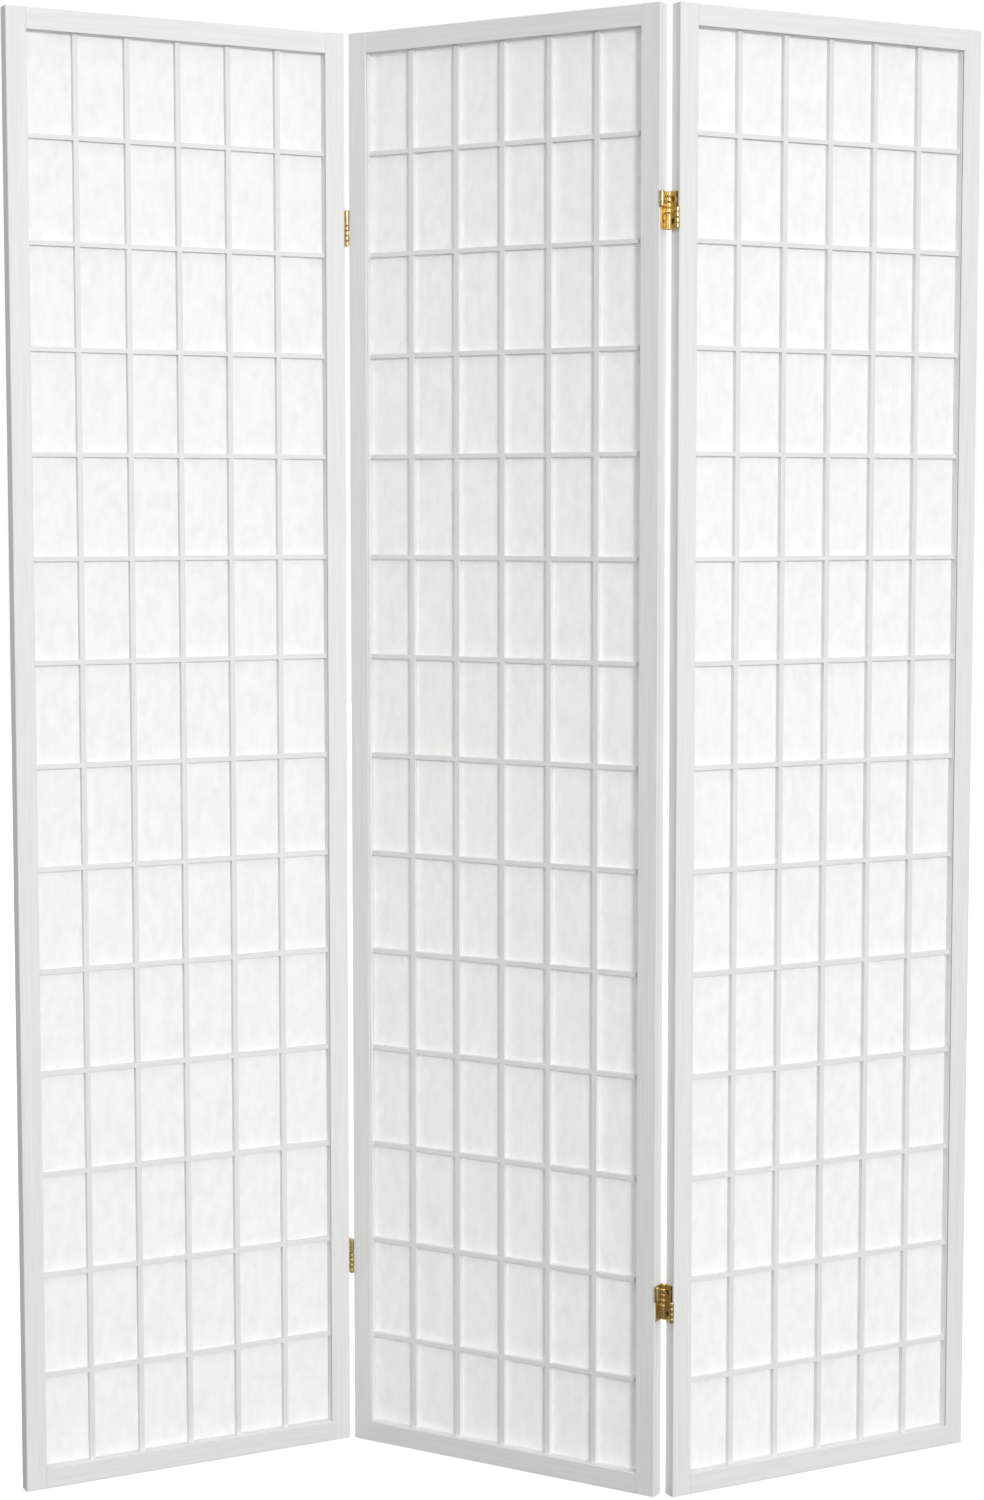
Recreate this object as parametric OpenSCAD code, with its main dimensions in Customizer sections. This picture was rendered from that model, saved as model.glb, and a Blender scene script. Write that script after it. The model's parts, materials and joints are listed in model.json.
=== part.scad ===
// Three-panel folding shoji screen, standing in a shallow zig-zag.
// Painted wooden frames, window-pane lattice over paper, two-way brass hinges.
// Millimetres. +Z up, the fronts face -Y, the origin is under the middle of the middle panel.

/* [Panels] */
// Width of each panel
panel_w = 435; // [300:1:640]
// Height of each panel
panel_h = 1784; // [1000:1:2200]
// Thickness of stiles and rails
panel_t = 18; // [16.5:0.5:26]
// Face width of the stiles and rails
frame_w = 25.4; // [22:0.1:60]
// How far each joint stands folded from straight
fold = 58.5; // [5:0.5:150]

/* [Frame joinery] */
// Thickness of the frame lip in front of the lattice
lip_t = 6.6; // [4:0.1:8]
// How far the lattice is let in behind the lip
rabbet_w = 6; // [3:0.1:6.5]
// Thin edge of the lip in front of its shadow groove
bead_t = 0.8; // [0.6:0.1:1]
// Width of the shadow groove round the opening
groove_w = 2.8; // [0.5:0.1:3]
// Depth of the shadow groove
groove_d = 2.4; // [0.5:0.1:3]
// Eased edges of the frame members
ease = 0.6; // [0.2:0.1:1.5]
// Length of the rail tenons
tenon_l = 14; // [6:0.5:18]
// Thickness of the rail tenons
tenon_t = 6; // [4:0.5:8]

/* [Lattice and paper] */
// Cells across the panel
columns = 6; // [3:1:9]
// Cells up the panel
rows = 14; // [6:1:18]
// Height of the lowest row as a share of the others
low_row = 0.928; // [0.6:0.001:1.3]
// Face width of the lattice uprights
upright_w = 6.4; // [4:0.1:12]
// Face height of the lattice bars
bar_h = 5.5; // [4:0.1:12]
// Depth of the lattice sticks
stick_t = 6.9; // [4:0.1:7.5]
// Thickness of the paper
paper_t = 0.2; // [0.1:0.05:1]

/* [Hinges] */
// Height of each hinge
hinge_h = 44.5; // [40:0.5:80]
// Top of the panel down to the top of the upper hinge
hinge_top = 216; // [60:1:400]
// Bottom of the panel up to the bottom of the lower hinge
hinge_low = 217; // [60:1:400]
// Gap between two panels in line
hinge_gap = 6.2; // [5.6:0.1:9]
// How far each pivot stands proud of the panel face
proud = 0.2; // [0.1:0.1:1]
// Sheet thickness of the leaves
leaf_t = 1; // [0.8:0.1:1.2]
// Sheet thickness of the middle link
link_t = 1.2; // [0.8:0.1:1.4]
// Length of one knuckle
knuckle_l = 6.1; // [5:0.1:8.5]
// Rounding of the knuckle ends
knuckle_ease = 0.5; // [0.1:0.1:0.6]
// Diameter of the hinge pins
pin_d = 3.6; // [3:0.1:3.8]
// Screw position in from each end of a leaf
screw_in = 9.5; // [7:0.5:14]
// Diameter of the screw shanks
screw_d = 3; // [2:0.1:3.5]
// Diameter of the screw heads
head_d = 5.6; // [4.5:0.1:6]
// Height of the raised screw heads above the leaf
head_rise = 0.5; // [0.2:0.1:0.8]
// Length of a screw below its head
screw_l = 14; // [8:1:15]

/* [Hidden] */
$fn = 48;
knuckles = 4;
knuckle_gap = 0.3;          // end play between knuckles
barrel_gap = 0.1;           // barrel to the panel edge beside it
pin_clear = 0.05;           // radial clearance, pin in knuckle
screw_clear = 0.05;         // radial clearance, screw in its hole
lattice_clear = 0.1;        // lattice to the side of its rabbet
swing_clear = 0.3;          // sheet edge to a barrel that turns past it
tenon_clear = 0.1;          // tenon end to the bottom of its mortise
barrel_r = hinge_gap / 2 - barrel_gap;
head_curve = (pow(head_d / 2, 2) + pow(head_rise, 2)) / (2 * head_rise);  // radius of the raised heads
bore_r = pin_d / 2 + pin_clear;
// run of knuckles, and the plain rolled edge that fills the rest of the height
knuckle_run = knuckles * knuckle_l + (knuckles - 1) * knuckle_gap;
plain_l = hinge_h - knuckle_run - knuckle_gap;
pivot_x = hinge_gap / 2;
front_y = -proud;
rear_y = panel_t + proud;
// a leaf keeps this far from the pivot line where another barrel turns
leaf_back = sqrt(pow(barrel_r + swing_clear / 2, 2) - pow(pivot_x - leaf_t, 2));
opening_w = panel_w - 2 * frame_w;
opening_h = panel_h - 2 * frame_w;
cell_w = (opening_w - (columns - 1) * upright_w) / columns;
cell_h = (opening_h - (rows - 1) * bar_h) / (rows - 1 + low_row);
edge_w = rabbet_w - lattice_clear;      // outer sticks of the lattice
lattice_w = opening_w + 2 * edge_w;
lattice_h = opening_h + 2 * edge_w;
low_cell_h = cell_h * low_row;
hinge_z = [hinge_low, panel_h - hinge_top - hinge_h];
paint = [0.93, 0.93, 0.92];
washi = [0.97, 0.97, 0.95];
brass = [0.80, 0.58, 0.22];

// ---------------------------------------------------------------- placing
// Each panel is drawn with its front lower left corner at the origin, front face on y = 0.
// Each hinge is drawn in the gap, from the left panel's edge at x = 0, between panels in line.

module swing(x, y, angle) translate([x, y, 0]) rotate([0, 0, angle]) translate([-x, -y, 0]) children();

module at_middle() rotate([0, 0, -fold / 2]) translate([-panel_w / 2, -panel_t / 2, 0]) children();

// folded forward about the front pivot of the left joint
module at_left() at_middle() swing(-pivot_x, front_y, fold) translate([-panel_w - hinge_gap, 0, 0])
    children();

// folded back about the rear pivot of the right joint
module at_right() at_middle() swing(panel_w + pivot_x, rear_y, fold) translate([panel_w + hinge_gap, 0, 0])
    children();

module at_left_joint(z) translate([panel_w, 0, z]) children();
module at_right_joint(z) translate([-hinge_gap, 0, z]) children();

// ---------------------------------------------------------------- frame members
// Section of a member's full bar: x from the outer edge to the opening, y from front to back.
module bar_section() polygon([
    [ease, 0], [frame_w - ease, 0], [frame_w, ease], [frame_w, panel_t - ease],
    [frame_w - ease, panel_t], [ease, panel_t], [0, panel_t - ease], [0, ease]]);

// What the shadow groove and the lattice seat take out of that bar.
module seat_section() {
    translate([frame_w - groove_d, bead_t]) square([groove_d + 1, groove_w]);
    translate([frame_w - rabbet_w, lip_t]) square([rabbet_w + 1, panel_t - lip_t + 1]);
}

module tenon(clear) {
    h = frame_w - rabbet_w - 6;
    translate([-tenon_l - clear, (panel_t - tenon_t) / 2, 3])
        cube([tenon_l + clear + 1, tenon_t, h]);
}

module screw_holes() for (z0 = hinge_z, z = [screw_in, hinge_h - screw_in])
    translate([-1, panel_t / 2, z0 + z]) rotate([0, 90, 0])
        cylinder(r = screw_d / 2 + screw_clear, h = screw_l + 1.5);

// Left-hand stile: outer edge on x = 0.
module stile(hinged) difference() {
    linear_extrude(panel_h) bar_section();
    translate([0, 0, frame_w - rabbet_w]) linear_extrude(lattice_seat_h()) seat_section();
    translate([frame_w, 0, 0]) tenon(tenon_clear);
    translate([frame_w, 0, panel_h]) mirror([0, 0, 1]) tenon(tenon_clear);
    if (hinged) screw_holes();
}
function lattice_seat_h() = opening_h + 2 * rabbet_w;

module stile_right(hinged) translate([panel_w, 0, 0]) mirror([1, 0, 0]) stile(hinged);

module rail_bottom() {
    translate([panel_w - frame_w, 0, 0]) rotate([0, -90, 0]) linear_extrude(opening_w)
        difference() {
            bar_section();
            seat_section();
        }
    translate([frame_w, 0, 0]) tenon(0);
    translate([panel_w - frame_w, 0, 0]) mirror([1, 0, 0]) tenon(0);
}

module rail_top() translate([0, 0, panel_h]) mirror([0, 0, 1]) rail_bottom();

// ---------------------------------------------------------------- lattice
// Comb outline of a stick: full depth on the lands, half depth where another stick crosses.
module comb(len, lands) polygon(concat(
    [[0, stick_t / 2]],
    [for (l = lands) each [[l[0], stick_t / 2], [l[0], 0], [l[1], 0], [l[1], stick_t / 2]]],
    [[len, stick_t / 2], [len, stick_t], [0, stick_t]]));

column_x = [for (i = [0 : columns - 1]) edge_w + i * (cell_w + upright_w)];
row_z = [for (i = [0 : rows - 1]) edge_w + (i == 0 ? 0 : low_cell_h + bar_h + (i - 1) * (cell_h + bar_h))];
row_h = [for (i = [0 : rows - 1]) i == 0 ? low_cell_h : cell_h];

// Uprights, the two outer ones in the frame's seat included.
module lattice_uprights() {
    lands = [for (i = [0 : rows - 1]) [row_z[i], row_z[i] + row_h[i]]];
    starts = concat([0], [for (i = [0 : columns - 1]) column_x[i] + cell_w]);
    for (i = [0 : columns]) {
        w = i == 0 || i == columns ? edge_w : upright_w;
        translate([frame_w - edge_w + starts[i] + w, lip_t, frame_w - edge_w])
            rotate([0, -90, 0]) linear_extrude(w) comb(lattice_h, lands);
    }
}

// Bars, the top and bottom ones in the frame's seat included.
module lattice_bars() {
    lands = [for (i = [0 : columns - 1]) [column_x[i], column_x[i] + cell_w]];
    starts = concat([0], [for (i = [0 : rows - 1]) row_z[i] + row_h[i]]);
    for (i = [0 : rows]) {
        h = i == 0 || i == rows ? edge_w : bar_h;
        translate([frame_w - edge_w, lip_t + stick_t, frame_w - edge_w + starts[i]])
            linear_extrude(h) mirror([0, 1]) comb(lattice_w, lands);
    }
}

module paper() translate([frame_w - edge_w + 1, lip_t + stick_t, frame_w - edge_w + 1])
    cube([lattice_w - 2, paper_t, lattice_h - 2]);

// ---------------------------------------------------------------- two-way hinge
// The left leaf turns on the link about the rear pivot, in the upper part of the hinge. The
// right leaf is its point reflection and turns on the link about the front pivot, lower down.
module reflected() translate([hinge_gap, panel_t, hinge_h]) rotate([0, 0, 180]) mirror([0, 0, 1])
    children();

module barrel(y, z, l) translate([pivot_x, y, z]) {
    cylinder(r1 = barrel_r - knuckle_ease, r2 = barrel_r, h = knuckle_ease);
    translate([0, 0, knuckle_ease]) cylinder(r = barrel_r, h = l - 2 * knuckle_ease);
    translate([0, 0, l - knuckle_ease])
        cylinder(r1 = barrel_r, r2 = barrel_r - knuckle_ease, h = knuckle_ease);
}
module bore(y) translate([pivot_x, y, -1]) cylinder(r = bore_r, h = hinge_h + 2);

// bottom of knuckle i of the upper run, counted from the top
function knuckle_z(i) = hinge_h - knuckle_l - i * (knuckle_l + knuckle_gap);

module leaf() difference() {
    union() {
        translate([0, front_y + leaf_back, 0])
            cube([leaf_t, rear_y - front_y - 2 * leaf_back, hinge_h]);
        for (i = [0 : 2 : knuckles - 1]) {
            barrel(rear_y, knuckle_z(i), knuckle_l);
            translate([0, panel_t / 2, knuckle_z(i)]) cube([leaf_t, rear_y - panel_t / 2, knuckle_l]);
        }
        barrel(front_y, hinge_h - plain_l, plain_l);
        translate([0, front_y, hinge_h - plain_l]) cube([leaf_t, panel_t / 2 - front_y, plain_l]);
    }
    bore(rear_y);
    bore(front_y);
    for (z = [screw_in, hinge_h - screw_in]) translate([0, panel_t / 2, z]) rotate([0, 90, 0])
        cylinder(r1 = screw_d / 2 + screw_clear, r2 = head_d / 2 + screw_clear, h = leaf_t);
}

module link_half() for (i = [1 : 2 : knuckles - 1]) {
    barrel(rear_y, knuckle_z(i), knuckle_l);
    translate([pivot_x - link_t / 2, panel_t / 2, knuckle_z(i)])
        cube([link_t, rear_y - panel_t / 2, knuckle_l]);
}

module link() difference() {
    union() {
        translate([pivot_x - link_t / 2, front_y + barrel_r + swing_clear, 0])
            cube([link_t, rear_y - front_y - 2 * (barrel_r + swing_clear), hinge_h]);
        link_half();
        reflected() link_half();
    }
    bore(rear_y);
    bore(front_y);
    // holes that let a driver reach the screws behind the link
    for (z = [screw_in, hinge_h - screw_in]) translate([0, panel_t / 2, z]) rotate([0, 90, 0])
        cylinder(d = head_d + 0.8, h = hinge_gap);
}

module pins() {
    rear_pin();
    reflected() rear_pin();
}
module rear_pin() translate([pivot_x, rear_y, hinge_h - knuckle_run])
    cylinder(d = pin_d, h = knuckle_run);

module screws() for (z = [screw_in, hinge_h - screw_in]) translate([0, panel_t / 2, z])
    rotate([0, 90, 0]) difference() {
        union() {
            cylinder(r1 = screw_d / 2, r2 = head_d / 2, h = leaf_t);
            intersection() {
                translate([0, 0, leaf_t + head_rise - head_curve]) sphere(r = head_curve);
                translate([0, 0, leaf_t]) cylinder(d = head_d, h = head_rise);
            }
            translate([0, 0, -screw_l + 3]) cylinder(d = screw_d, h = screw_l - 3);
            translate([0, 0, -screw_l]) cylinder(r1 = 0.3, r2 = screw_d / 2, h = 3);
        }
        // cross recess
        for (a = [45, 135]) rotate([0, 0, a]) translate([-1.5, -0.3, leaf_t - 0.4]) cube([3, 0.6, 2]);
    }

// ---------------------------------------------------------------- sub-parts
module left_stile_outer() color(paint) at_left() stile(false);
module left_stile_inner() color(paint) at_left() stile_right(true);
module left_rail_top() color(paint) at_left() rail_top();
module left_rail_bottom() color(paint) at_left() rail_bottom();
module left_lattice_uprights() color(paint) at_left() lattice_uprights();
module left_lattice_bars() color(paint) at_left() lattice_bars();
module left_paper() color(washi) at_left() paper();

module middle_stile_left() color(paint) at_middle() stile(true);
module middle_stile_right() color(paint) at_middle() stile_right(true);
module middle_rail_top() color(paint) at_middle() rail_top();
module middle_rail_bottom() color(paint) at_middle() rail_bottom();
module middle_lattice_uprights() color(paint) at_middle() lattice_uprights();
module middle_lattice_bars() color(paint) at_middle() lattice_bars();
module middle_paper() color(washi) at_middle() paper();

module right_stile_inner() color(paint) at_right() stile(true);
module right_stile_outer() color(paint) at_right() stile_right(false);
module right_rail_top() color(paint) at_right() rail_top();
module right_rail_bottom() color(paint) at_right() rail_bottom();
module right_lattice_uprights() color(paint) at_right() lattice_uprights();
module right_lattice_bars() color(paint) at_right() lattice_bars();
module right_paper() color(washi) at_right() paper();

// Left joint: link and left leaf ride with the left panel, right leaf with the middle panel.
module on_left(i) color(brass) at_left() at_left_joint(hinge_z[i]) children();
module on_middle_left(i) color(brass) at_middle() at_right_joint(hinge_z[i]) children();

module hinge_left_low_leaf_left() on_left(0) leaf();
module hinge_left_low_link() on_left(0) link();
module hinge_left_low_leaf_right() on_middle_left(0) reflected() leaf();
module hinge_left_low_pins() on_left(0) pins();
module hinge_left_low_screws_left() on_left(0) screws();
module hinge_left_low_screws_right() on_middle_left(0) reflected() screws();
module hinge_left_top_leaf_left() on_left(1) leaf();
module hinge_left_top_link() on_left(1) link();
module hinge_left_top_leaf_right() on_middle_left(1) reflected() leaf();
module hinge_left_top_pins() on_left(1) pins();
module hinge_left_top_screws_left() on_left(1) screws();
module hinge_left_top_screws_right() on_middle_left(1) reflected() screws();

// Right joint: left leaf rides with the middle panel, link and right leaf with the right panel.
module on_middle_right(i) color(brass) at_middle() at_left_joint(hinge_z[i]) children();
module on_right(i) color(brass) at_right() at_right_joint(hinge_z[i]) children();

module hinge_right_low_leaf_left() on_middle_right(0) leaf();
module hinge_right_low_link() on_right(0) link();
module hinge_right_low_leaf_right() on_right(0) reflected() leaf();
module hinge_right_low_pins() on_right(0) pins();
module hinge_right_low_screws_left() on_middle_right(0) screws();
module hinge_right_low_screws_right() on_right(0) reflected() screws();
module hinge_right_top_leaf_left() on_middle_right(1) leaf();
module hinge_right_top_link() on_right(1) link();
module hinge_right_top_leaf_right() on_right(1) reflected() leaf();
module hinge_right_top_pins() on_right(1) pins();
module hinge_right_top_screws_left() on_middle_right(1) screws();
module hinge_right_top_screws_right() on_right(1) reflected() screws();

left_stile_outer();
left_stile_inner();
left_rail_top();
left_rail_bottom();
left_lattice_uprights();
left_lattice_bars();
left_paper();
middle_stile_left();
middle_stile_right();
middle_rail_top();
middle_rail_bottom();
middle_lattice_uprights();
middle_lattice_bars();
middle_paper();
right_stile_inner();
right_stile_outer();
right_rail_top();
right_rail_bottom();
right_lattice_uprights();
right_lattice_bars();
right_paper();
hinge_left_low_leaf_left();
hinge_left_low_link();
hinge_left_low_leaf_right();
hinge_left_low_pins();
hinge_left_low_screws_left();
hinge_left_low_screws_right();
hinge_left_top_leaf_left();
hinge_left_top_link();
hinge_left_top_leaf_right();
hinge_left_top_pins();
hinge_left_top_screws_left();
hinge_left_top_screws_right();
hinge_right_low_leaf_left();
hinge_right_low_link();
hinge_right_low_leaf_right();
hinge_right_low_pins();
hinge_right_low_screws_left();
hinge_right_low_screws_right();
hinge_right_top_leaf_left();
hinge_right_top_link();
hinge_right_top_leaf_right();
hinge_right_top_pins();
hinge_right_top_screws_left();
hinge_right_top_screws_right();
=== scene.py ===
"""A three-panel folding shoji screen: white painted frames, fibre paper and brass two-way hinges."""
import json
import math
import random

import bmesh
import bpy
from mathutils import Matrix, Vector


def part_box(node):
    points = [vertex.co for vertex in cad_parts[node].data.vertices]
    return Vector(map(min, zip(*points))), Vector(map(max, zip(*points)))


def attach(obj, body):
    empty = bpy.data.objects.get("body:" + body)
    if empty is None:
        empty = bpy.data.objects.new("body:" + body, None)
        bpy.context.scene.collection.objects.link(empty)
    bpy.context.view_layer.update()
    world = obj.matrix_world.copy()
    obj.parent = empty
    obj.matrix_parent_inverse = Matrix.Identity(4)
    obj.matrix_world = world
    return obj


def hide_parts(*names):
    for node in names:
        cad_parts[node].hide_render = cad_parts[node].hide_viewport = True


PANELS = ("left", "middle", "right")
MM = 0.001


# ---------------------------------------------------------------- shader writing
class Wire:
    """A shader socket that writes its own Math nodes when it is used in a sum."""

    def __init__(self, tree, socket):
        self.tree = tree
        self.socket = socket

    def math(self, operation, *others, first=None):
        node = self.tree.nodes.new("ShaderNodeMath")
        node.operation = operation
        values = (first, self, *others) if first is not None else (self, *others)
        for socket, value in zip(node.inputs, values):
            plug(self.tree, socket, value)
        return Wire(self.tree, node.outputs[0])

    def __add__(self, other):
        return self.math("ADD", other)

    def __sub__(self, other):
        return self.math("SUBTRACT", other)

    def __rsub__(self, other):
        return self.math("SUBTRACT", first=other)

    def __mul__(self, other):
        return self.math("MULTIPLY", other)

    def __abs__(self):
        return self.math("ABSOLUTE")

    def clamped(self):
        return self.math("MAXIMUM", 0.0).math("MINIMUM", 1.0)

    __radd__ = __add__
    __rmul__ = __mul__


def plug(tree, socket, value):
    """Links a wire into a socket, or sets the socket's own value."""
    if isinstance(value, Wire):
        tree.links.new(value.socket, socket)
    else:
        socket.default_value = value


MIX_SHARE, MIX_COLOUR_A, MIX_COLOUR_B, MIX_COLOUR_OUT = 0, 6, 7, 2


class Shading:
    """The node tree of one material or world."""

    def __init__(self, tree):
        self.tree = tree
        tree.nodes.clear()

    def node(self, kind, settings=None, output=0, sockets=None, **named):
        """A node of this type: its settings first, then its sockets by place or name, with _ for a space."""
        node = self.tree.nodes.new(kind)
        for name, value in (settings or {}).items():
            setattr(node, name, value)
        for key, value in {**(sockets or {}), **named}.items():
            plug(self.tree, node.inputs[key.replace("_", " ") if isinstance(key, str) else key], value)
        return Wire(self.tree, node.outputs[output]) if node.outputs else None

    def place(self, stretch=(1, 1, 1), turn=0.0, shift=(0, 0, 0)):
        """Where a point lies on the piece, turned about the vertical and stretched, in metres."""
        spot = self.node("ShaderNodeTexCoord", output="Object")
        turned = self.node("ShaderNodeVectorRotate", {"rotation_type": "Z_AXIS"}, Vector=spot, Angle=-turn)
        return self.node("ShaderNodeMapping", Vector=turned, Scale=stretch, Location=shift)

    def noise(self, where, scale, detail=3.0, roughness=0.5, distortion=0.0):
        return self.node("ShaderNodeTexNoise", {"noise_dimensions": "3D"}, Vector=where, Scale=scale,
                         Detail=detail, Roughness=roughness, Distortion=distortion)

    def ramp(self, value, low, high):
        """0 below low, 1 above high and smooth between."""
        return self.node("ShaderNodeMapRange", {"interpolation_type": "SMOOTHSTEP"}, Value=value,
                         From_Min=low, From_Max=high)

    def tint(self, share, first, second):
        """Colour that goes from first to second as share goes from 0 to 1."""
        return self.node("ShaderNodeMix", {"data_type": "RGBA"}, output=MIX_COLOUR_OUT,
                         sockets={MIX_SHARE: share, MIX_COLOUR_A: first, MIX_COLOUR_B: second})

    def mix(self, share, first, second):
        """The first surface, or the second by this share."""
        return self.node("ShaderNodeMixShader", sockets={0: share, 1: first, 2: second})

    def bump(self, height, distance):
        return self.node("ShaderNodeBump", Height=height, Distance=distance)

    def show(self, surface, end="ShaderNodeOutputMaterial"):
        self.node(end, Surface=surface)


def new_material(name):
    material = bpy.data.materials.new(name)
    material.use_nodes = True
    return material, Shading(material.node_tree)


# ---------------------------------------------------------------- finishes
PAINT_WHITE = (0.865, 0.865, 0.863, 1)
PAINT_GREY = (0.79, 0.79, 0.788, 1)
PAPER_WHITE = (0.988, 0.988, 0.986, 1)
PAPER_CLOUD = (0.872, 0.872, 0.869, 1)
PAPER_THROUGH = (0.96, 0.96, 0.955, 1)
PAPER_LETS_THROUGH = 0.32
BRASSES = {  # bright and dull colour, share of dull patches, roughness
    "sheet": ((0.78, 0.60, 0.28, 1), (0.50, 0.375, 0.165, 1), 0.6, 0.27),
    "pins": ((0.78, 0.62, 0.33, 1), (0.50, 0.38, 0.18, 1), 0.5, 0.28),
    "screws": ((0.84, 0.66, 0.34, 1), (0.54, 0.40, 0.18, 1), 0.5, 0.22),
}

# Detail sizes are noise scales, in features a metre.
GRAIN, PORES, PAINT_PATCHES = 240, 900, 7
CLOUDS, THREAD_BREAKS, FLECKS = 95, 45, 900
BRUSHING, BRASS_PATCHES, SPECKS = 4200, 210, 1500
FLOOR_CLOUDS = 3
THREAD_LAYERS = (((0, 0, 0), 38, 0.012), ((7, 5, 1), 24, 0.007))  # shift, scale and half width of a line
ALONG_GRAIN = 0.035
GRAIN_DEPTH = 0.12 * MM
FIBRE_DEPTH = 0.10 * MM
BRASS_DEPTH = 0.05 * MM


def white_paint(name, stretch, turn):
    """Satin white paint, thin enough for the wood's grain to show; stretch is short along the grain."""
    material, shading = new_material(name)
    grain_place = shading.place(stretch, turn)
    figure = shading.noise(grain_place, GRAIN, detail=2, roughness=0.6)
    pores = shading.ramp(shading.noise(grain_place, PORES, detail=1, roughness=0.7), 0.56, 0.72)
    patches = shading.noise(shading.place(), PAINT_PATCHES, detail=1)
    shade = (shading.ramp(figure, 0.32, 0.68) * 0.55 + pores * 0.3 + patches * 0.25).clamped()
    height = figure * 0.6 - pores * 0.4
    surface = shading.node(
        "ShaderNodeBsdfPrincipled",
        Base_Color=shading.tint(shade, PAINT_WHITE, PAINT_GREY),
        Roughness=0.40 + figure * 0.14,
        Normal=shading.bump(height, GRAIN_DEPTH))
    shading.show(surface)
    return material


def fibre_paper():
    """Machine-made fibre paper: cloudy ground, long thin threads and short flecks."""
    material, shading = new_material("fibre_paper")
    cloud = shading.noise(shading.place((1, 1, 0.5)), CLOUDS, detail=4, roughness=0.62)
    threads = None
    for shift, scale, reach in THREAD_LAYERS:
        field = shading.noise(shading.place((1, 1, 0.55), 0.0, shift), scale, detail=1.5, distortion=1.4)
        line = 1 - shading.ramp(abs(field - 0.5), 0.0, reach)
        gaps = shading.noise(shading.place((1, 1, 1), 0.0, shift), THREAD_BREAKS, detail=1)
        breaks = shading.ramp(gaps, 0.50, 0.60)
        strand = line * breaks
        threads = strand if threads is None else threads + strand
    flecks = shading.ramp(shading.noise(shading.place((1, 1, 0.3)), FLECKS, detail=1), 0.66, 0.80)
    shade = (shading.ramp(cloud, 0.28, 0.74) * 0.75 + flecks * 0.25 - threads * 0.30).clamped()
    front = shading.node(
        "ShaderNodeBsdfPrincipled",
        Base_Color=shading.tint(shade, PAPER_WHITE, PAPER_CLOUD),
        Roughness=0.82 + threads * 0.1,
        Specular_IOR_Level=0.25,
        Normal=shading.bump(cloud, FIBRE_DEPTH))
    through = shading.node("ShaderNodeBsdfTranslucent", Color=PAPER_THROUGH)
    shading.show(shading.mix(PAPER_LETS_THROUGH, front, through))
    return material


def brass(name, bright, dull, tarnish, roughness):
    """Brass plating on pressed sheet: fine upright brushing, dull patches and a few dark specks."""
    material, shading = new_material(name)
    brushing = shading.noise(shading.place((1, 1, 0.04)), BRUSHING, detail=2)
    patches = shading.noise(shading.place(), BRASS_PATCHES, detail=4, roughness=0.6)
    specks = shading.ramp(shading.noise(shading.place(), SPECKS, detail=1), 0.68, 0.78)
    shade = (shading.ramp(patches, 0.38, 0.66) * tarnish + brushing * 0.22 + specks * 0.5).clamped()
    surface = shading.node(
        "ShaderNodeBsdfPrincipled",
        Base_Color=shading.tint(shade, bright, dull),
        Metallic=1.0,
        Roughness=roughness + patches * 0.16 + specks * 0.15,
        Normal=shading.bump(brushing * 0.3 + patches * 0.7, BRASS_DEPTH))
    shading.show(surface)
    return material


# ---------------------------------------------------------------- the panels' own axes
EDGE_DIGITS = 5


def panel_turns(joints):
    """Each panel's turn about the vertical. The links lie with the outer panels, so each pair of pivots
    points straight through its panel; the middle panel stands at the opposite angle."""
    pivots = {joint["name"]: Vector(joint["pos_m"]) for joint in joints}
    through = {
        "left": pivots["left_rear_pivot"] - pivots["left_front_pivot"],
        "right": pivots["right_rear_pivot"] - pivots["right_front_pivot"],
    }
    turns = {side: math.atan2(-way.x, way.y) for side, way in through.items()}
    turns["middle"] = -turns["left"]
    return turns


def own_points(node, turn):
    """A CAD node's points in its panel's own axes: along the panel, through it and up."""
    back = Matrix.Rotation(-turn, 4, "Z")
    return [back @ vertex.co for vertex in frame["nodes"][node].data.vertices]


def stick_edges(node, turn, axis):
    """Sorted places of the edges of a lattice's sticks along one of the panel's own axes."""
    return sorted({round(point[axis], EDGE_DIGITS) for point in own_points(node, turn)})


# ---------------------------------------------------------------- paper
PAPER_SLACK = 0.45 * MM
PAPER_STEPS = (6, 10)
PAPER_INSET = 1 * MM
CELL_LIFT = (-1, 1)
CELL_LEAN = (-0.6, 0.6)
CELL_RIPPLE = (1.0, 2.4)


def split(edges, steps):
    """Grid lines over stick edges, with the given steps in each clear cell, and each line's cell and share."""
    lines = [(edges[0] + PAPER_INSET, None, 0.0), (edges[1], None, 0.0)]
    for cell in range(len(edges) // 2 - 1):
        low, high = edges[2 * cell + 1], edges[2 * cell + 2]
        for step in range(1, steps):
            lines.append((low + (high - low) * step / steps, cell, step / steps))
        lines.append((high, None, 0.0))
        lines.append((edges[2 * cell + 3], None, 0.0))
    lines[-1] = (edges[-1] - PAPER_INSET, None, 0.0)
    return lines


def cockle(column, row, u, v, swell):
    """How far the paper stands back from its plane at a share u, v of one cell."""
    if column is None or row is None:
        return 0.0
    lift, lean, ripple = swell[column, row]
    dome = math.sin(math.pi * u) * math.sin(math.pi * v)
    wave = math.sin(math.pi * (ripple * (u + lean * v) + lift))
    return PAPER_SLACK * dome * (0.75 * lift + 0.35 * wave)


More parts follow.
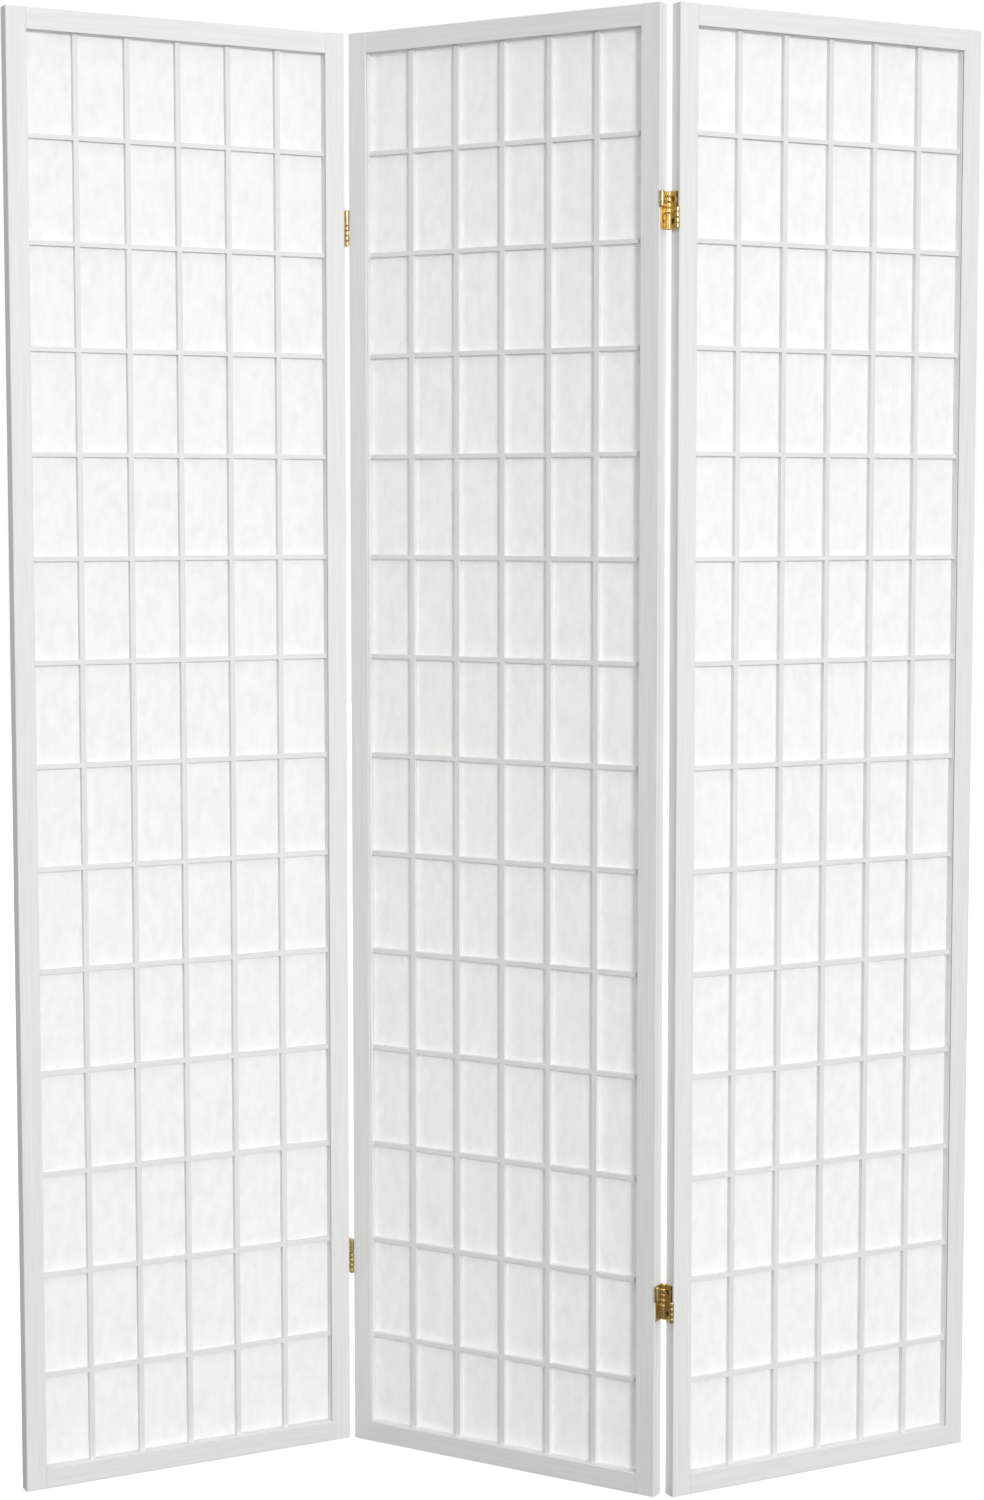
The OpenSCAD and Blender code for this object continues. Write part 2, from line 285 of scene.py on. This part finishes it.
def paper_sheet(side, turn, finish):
    """One panel's paper, glued to the sticks and slightly slack in the cells between them."""
    across = split(stick_edges(f"{side}_lattice_uprights", turn, 0), PAPER_STEPS[0])
    upward = split(stick_edges(f"{side}_lattice_bars", turn, 2), PAPER_STEPS[1])
    depths = [point.y for point in own_points(f"{side}_paper", turn)]
    front, back = min(depths), max(depths)
    chance = random.Random(f"paper {side}")
    swell = {(i, j): tuple(chance.uniform(*span) for span in (CELL_LIFT, CELL_LEAN, CELL_RIPPLE))
             for i in range(len(across)) for j in range(len(upward))}
    mesh = bmesh.new()
    layers = []
    for depth in (front, back):
        layers.append([[mesh.verts.new((x, depth + cockle(i, j, u, v, swell), z))
                        for x, i, u in across] for z, j, v in upward])
    rows, columns = len(upward), len(across)
    for layer, flip in zip(layers, (False, True)):
        for r in range(rows - 1):
            for c in range(columns - 1):
                ring = [layer[r][c], layer[r][c + 1], layer[r + 1][c + 1], layer[r + 1][c]]
                mesh.faces.new(ring[::-1] if flip else ring)
    rim = ([(0, c) for c in range(columns)] + [(r, columns - 1) for r in range(1, rows)]
           + [(rows - 1, c) for c in range(columns - 2, -1, -1)] + [(r, 0) for r in range(rows - 2, 0, -1)])
    for (r0, c0), (r1, c1) in zip(rim, rim[1:] + rim[:1]):
        mesh.faces.new([layers[0][r1][c1], layers[0][r0][c0], layers[1][r0][c0], layers[1][r1][c1]])
    mesh.transform(Matrix.Rotation(turn, 4, "Z"))
    sheet = piece_from(mesh, f"{side}_paper_sheet", finish)
    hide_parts(f"{side}_paper")
    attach(sheet, f"{side}_panel")


SHARP_CORNER = math.radians(35)


def piece_from(mesh, name, finish):
    """An object from a bmesh, smooth over curves and sharp at corners."""
    mesh.normal_update()
    data = bpy.data.meshes.new(name)
    mesh.to_mesh(data)
    mesh.free()
    data.shade_smooth()
    data.set_sharp_from_angle(angle=SHARP_CORNER)
    data.materials.append(finish)
    piece = bpy.data.objects.new(name, data)
    bpy.context.scene.collection.objects.link(piece)
    return piece


def wear(node, finish):
    """Gives a CAD node its finish."""
    data = frame["nodes"][node].data
    data.materials.clear()
    data.materials.append(finish)


# ---------------------------------------------------------------- two-way hinges
BARREL_R = 3.0 * MM
BORE_R = 1.85 * MM
KNUCKLES = 4
KNUCKLE_L = 6.1 * MM
KNUCKLE_GAP = 0.3 * MM
KNUCKLE_ROUND = 1.5 * MM
KNUCKLE_TAPER = 0.9 * MM
ROUND_STEPS = 6
BORE_EASE = 0.1 * MM
SINK_EASE = 0.2 * MM
TINY = 1e-6
LEAF_T = 1.0 * MM
LINK_T = 1.2 * MM
LEAF_FACE = 3.1 * MM
SWING = 0.15 * MM
SHEET_EASE = 0.2 * MM
SCREW_IN = 9.5 * MM
SCREW_HOLE_R = 1.55 * MM
SCREW_HEAD_R = 2.85 * MM
DRIVER_HOLE_R = 3.2 * MM
ROUND_SIDES = 40


def knuckle(mesh, y, low, high):
    """A rolled knuckle round an upright pivot, with rounded ends and a bore for the pin."""
    bulge = min(KNUCKLE_ROUND, (high - low) / 2)
    outline = []
    for step in range(ROUND_STEPS + 1):
        angle = math.pi / 2 * step / ROUND_STEPS
        outline.append((BARREL_R - KNUCKLE_TAPER * (1 - math.sin(angle)), low + bulge * (1 - math.cos(angle))))
    outline += [(r, low + high - z) for r, z in reversed(outline)]
    outline += [(BORE_R + BORE_EASE, high), (BORE_R, high - BORE_EASE),
                (BORE_R, low + BORE_EASE), (BORE_R + BORE_EASE, low)]
    rings = []
    for step in range(ROUND_SIDES):
        angle = math.tau * step / ROUND_SIDES
        rings.append([mesh.verts.new((r * math.cos(angle), y + r * math.sin(angle), z)) for r, z in outline])
    for ring, following in zip(rings, rings[1:] + rings[:1]):
        for k in range(len(outline)):
            after = (k + 1) % len(outline)
            mesh.faces.new([ring[k], following[k], following[after], ring[after]])


def inset(corners, depth):
    """A square-cornered outline, run anticlockwise, moved inwards."""
    moved = []
    for before, corner, after in zip(corners[-1:] + corners[:-1], corners, corners[1:] + corners[:1]):
        shift = Vector((0, 0))
        for first, second in ((before, corner), (corner, after)):
            way = (Vector(second) - Vector(first)).normalized()
            shift += Vector((-way.y, way.x)) * depth
        moved.append(Vector(corner) + shift)
    return moved


def plate(mesh, x, thickness, corners, holes):
    """Pressed sheet in the plane of y and z, with eased edges; each hole is a place and its radii through it."""
    levels = (x, x + SHEET_EASE, x + thickness - SHEET_EASE, x + thickness)
    edge = [inset(corners, SHEET_EASE), corners, corners, inset(corners, SHEET_EASE)]
    loops = [[[mesh.verts.new((level, *spot)) for spot in ring] for level, ring in zip(levels, edge)]]
    for (y, z), radii in holes:
        turns_round = [-math.tau * step / ROUND_SIDES for step in range(ROUND_SIDES)]
        loops.append([[mesh.verts.new((level, y + r * math.cos(a), z + r * math.sin(a))) for a in turns_round]
                      for level, r in zip(levels, radii)])
    for rings in loops:
        for ring, following in zip(rings, rings[1:]):
            for k in range(len(ring)):
                after = (k + 1) % len(ring)
                mesh.faces.new([ring[k], ring[after], following[after], following[k]])
    for level in (0, -1):
        rim = [mesh.edges.get((ring[level][k], ring[level][(k + 1) % len(ring[level])]))
               for ring in loops for k in range(len(ring[level]))]
        bmesh.ops.triangle_fill(mesh, use_beauty=True, edges=rim)


def upper_knuckles(height, first):
    """Lowest and highest points of every other knuckle of the upper run, counted from the top."""
    tops = [height - k * (KNUCKLE_L + KNUCKLE_GAP) for k in range(first, KNUCKLES, 2)]
    return [(top - KNUCKLE_L, top) for top in tops]


def tabs(y, tip, spans, height):
    """Corners down one side of a plate, with a tab to the tip over each span, from the top to the bottom."""
    side = []
    for low, high in spans:
        side += [(y, high), (tip, high), (tip, low), (y, low)]
    if spans[0][1] < height - TINY:
        side.insert(0, (y, height))
    else:
        side.pop(0)
    if spans[-1][0] > TINY:
        side.append((y, 0))
    else:
        side.pop()
    return side


def leaf_sheet(height, reach):
    """The left leaf: turns on the link about the rear pivot, and ends in a plain roll at the front one."""
    mesh = bmesh.new()
    spans = upper_knuckles(height, 0)
    plain = (KNUCKLES * (KNUCKLE_L + KNUCKLE_GAP), height)
    margin = math.sqrt((BARREL_R + SWING) ** 2 - (LEAF_FACE - LEAF_T) ** 2)
    rear = tabs(reach - margin, reach, spans, height)
    front = tabs(margin, 0.0, [plain], height)
    outline = front + rear[::-1]
    countersink = [SCREW_HOLE_R, SCREW_HOLE_R + SINK_EASE, SCREW_HEAD_R - SINK_EASE, SCREW_HEAD_R]
    holes = [((reach / 2, z), countersink) for z in (SCREW_IN, height - SCREW_IN)]
    plate(mesh, -LEAF_FACE, LEAF_T, outline, holes)
    for low, high in spans:
        knuckle(mesh, reach, low, high)
    knuckle(mesh, 0.0, *plain)
    return mesh


def link_sheet(height, reach):
    """The middle sheet, with knuckles at the rear pivot above and at the front pivot below."""
    mesh = bmesh.new()
    upper = upper_knuckles(height, 1)
    lower = [(height - high, height - low) for low, high in reversed(upper)]
    margin = BARREL_R + 2 * SWING
    rear = tabs(reach - margin, reach - BORE_R, upper, height)
    front = tabs(margin, BORE_R, lower, height)
    radii = [DRIVER_HOLE_R + SHEET_EASE, DRIVER_HOLE_R, DRIVER_HOLE_R, DRIVER_HOLE_R + SHEET_EASE]
    holes = [((reach / 2, z), radii) for z in (SCREW_IN, height - SCREW_IN)]
    plate(mesh, -LINK_T / 2, LINK_T, front + rear[::-1], holes)
    for low, high in upper:
        knuckle(mesh, reach, low, high)
    for low, high in lower:
        knuckle(mesh, 0.0, low, high)
    return mesh


def hinge_sheets(side, level, turns, pivots, finish):
    """The leaves and the link of one hinge, each in its place on its own body."""
    low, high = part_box(f"hinge_{side}_{level}_link")
    height = high.z - low.z
    front, rear = pivots[f"{side}_front_pivot"], pivots[f"{side}_rear_pivot"]
    reach = (rear - front).length
    inner, outer = ("middle", side) if side == "right" else (side, "middle")
    riders = {"leaf_left": (inner, f"{inner}_panel"), "leaf_right": (outer, f"{outer}_panel"),
              "link": (side, f"{side}_links")}
    for part, (panel, body) in riders.items():
        mesh = link_sheet(height, reach) if part == "link" else leaf_sheet(height, reach)
        if part == "leaf_right":
            mesh.transform(Matrix.Translation((0, reach, height)) @ Matrix.Diagonal((-1, -1, -1, 1)))
            bmesh.ops.reverse_faces(mesh, faces=mesh.faces)
        pivot, own_y = (front, 0.0) if part == "leaf_right" else (rear, reach)
        place = Matrix.Translation((pivot.x, pivot.y, low.z)) @ Matrix.Rotation(turns[panel], 4, "Z")
        mesh.transform(place @ Matrix.Translation((0, -own_y, 0)))
        sheet = piece_from(mesh, f"hinge_{side}_{level}_{part}_sheet", finish)
        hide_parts(f"hinge_{side}_{level}_{part}")
        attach(sheet, body)


# ---------------------------------------------------------------- stage
CAMERA_PLACE = (0.0723, -3.4390, 1.1971)
CAMERA_TURN = (85.09, 0.02, 1.43)
CAMERA_LENS = 67.35
KEY_BEARING = 20.0
KEY_HEIGHT = 13.0
KEY_DISTANCE = 7.0
KEY_SIZE = 1.6
KEY_POWER = 268.0
SCREEN_MIDDLE = Vector((0, 0, 0.9))
WHITE = (1, 1, 1, 1)
FRONT_GLOW = 0.52
BACK_GLOW = 0.86
TOP_GLOW = 0.25
LOW_DIM = 0.38
LEFT_DIM = 0.21
BACK_SPAN = (0.1, 0.7)
TOP_SPAN = (0.1, 0.9)
LOW_SPAN = (-0.5, 0.1)
LEFT_SPAN = (-0.9, -0.3)
FLOOR_RADIUS = 14
FLOOR_SIDES = 96
FLOOR_DROP = 0.5 * MM
FLOOR_LIGHT = (0.90, 0.90, 0.90, 1)
FLOOR_SHADE = (0.87, 0.87, 0.87, 1)
FLOOR_GLOW = 0.42


def add_camera():
    camera = bpy.data.cameras.new("camera")
    camera.lens = CAMERA_LENS
    stand = bpy.data.objects.new("camera", camera)
    stand.location = CAMERA_PLACE
    stand.rotation_euler = [math.radians(angle) for angle in CAMERA_TURN]
    bpy.context.scene.collection.objects.link(stand)
    bpy.context.scene.camera = stand


def add_key_light():
    """One large soft light, low and to the right of the camera."""
    bearing, height = math.radians(KEY_BEARING), math.radians(KEY_HEIGHT)
    way = Vector((math.sin(bearing) * math.cos(height), -math.cos(bearing) * math.cos(height), math.sin(height)))
    light = bpy.data.lights.new("key", "AREA")
    light.shape = "DISK"
    light.size = KEY_SIZE
    light.energy = KEY_POWER
    lamp = bpy.data.objects.new("key", light)
    lamp.location = SCREEN_MIDDLE + way * KEY_DISTANCE
    lamp.rotation_euler = way.to_track_quat("Z", "Y").to_euler()
    lamp.visible_camera = False
    bpy.context.scene.collection.objects.link(lamp)


def add_surroundings():
    """White to look at; as light, dim from in front and below and bright from behind."""
    world = bpy.data.worlds.new("studio")
    world.use_nodes = True
    bpy.context.scene.world = world
    shading = Shading(world.node_tree)
    way = shading.node("ShaderNodeTexCoord", output="Generated")
    right, back, up = (shading.node("ShaderNodeSeparateXYZ", output=axis, Vector=way) for axis in "XYZ")
    glow = FRONT_GLOW + BACK_GLOW * shading.ramp(back, *BACK_SPAN) + TOP_GLOW * shading.ramp(up, *TOP_SPAN)
    glow = glow - LOW_DIM * (1 - shading.ramp(up, *LOW_SPAN)) - LEFT_DIM * (1 - shading.ramp(right, *LEFT_SPAN))
    lamp = shading.node("ShaderNodeBackground", Color=WHITE, Strength=glow)
    seen = shading.node("ShaderNodeBackground", Color=WHITE, Strength=1.0)
    by_camera = shading.node("ShaderNodeLightPath", output="Is Camera Ray")
    shading.show(shading.mix(by_camera, lamp, seen), "ShaderNodeOutputWorld")


def add_floor():
    """A wide pale floor that takes soft shadows and hides its own edge in the white behind it."""
    mesh = bmesh.new()
    bmesh.ops.create_circle(mesh, cap_ends=True, segments=FLOOR_SIDES, radius=FLOOR_RADIUS)
    mesh.transform(Matrix.Translation((0, 0, -FLOOR_DROP)))
    material, shading = new_material("floor")
    cloud = shading.noise(shading.place(), FLOOR_CLOUDS, detail=2)
    surface = shading.node(
        "ShaderNodeBsdfPrincipled",
        Base_Color=shading.tint(cloud, FLOOR_LIGHT, FLOOR_SHADE),
        Roughness=0.9,
        Specular_IOR_Level=0.0,
        Emission_Color=WHITE,
        Emission_Strength=FLOOR_GLOW)
    shading.show(surface)
    floor = piece_from(mesh, "floor", material)
    floor.visible_diffuse = False
    floor.visible_glossy = False


# ---------------------------------------------------------------- the screen
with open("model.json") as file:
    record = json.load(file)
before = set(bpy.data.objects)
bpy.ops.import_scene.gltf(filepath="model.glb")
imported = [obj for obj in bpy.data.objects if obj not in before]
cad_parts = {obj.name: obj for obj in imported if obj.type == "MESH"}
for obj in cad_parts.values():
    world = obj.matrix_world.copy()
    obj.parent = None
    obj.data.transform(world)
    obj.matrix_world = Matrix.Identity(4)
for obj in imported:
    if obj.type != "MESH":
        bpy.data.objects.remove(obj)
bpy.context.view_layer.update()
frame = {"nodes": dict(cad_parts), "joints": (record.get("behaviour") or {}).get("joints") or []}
turns = panel_turns(frame["joints"])

upright_paint = white_paint("white_paint_upright", (1, 1, ALONG_GRAIN), 0.0)
for side in PANELS:
    level_paint = white_paint(f"white_paint_level_{side}", (ALONG_GRAIN, 1, 1), turns[side])
    for node in frame["nodes"]:
        if node.startswith(f"{side}_stile") or node == f"{side}_lattice_uprights":
            wear(node, upright_paint)
        elif node.startswith(f"{side}_rail") or node == f"{side}_lattice_bars":
            wear(node, level_paint)

paper = fibre_paper()
for side in PANELS:
    paper_sheet(side, turns[side], paper)

brasses = {kind: brass(f"brass_{kind}", *look) for kind, look in BRASSES.items()}
for node in frame["nodes"]:
    if node.startswith("hinge"):
        kind = "pins" if node.endswith("pins") else "screws" if "screws" in node else "sheet"
        wear(node, brasses[kind])
pivots = {joint["name"]: Vector((*joint["pos_m"][:2], 0)) for joint in frame["joints"]}
for side in ("left", "right"):
    for level in ("low", "top"):
        hinge_sheets(side, level, turns, pivots, brasses["sheet"])

add_camera()
add_key_light()
add_surroundings()
add_floor()
bpy.context.scene.view_settings.view_transform = "Standard"
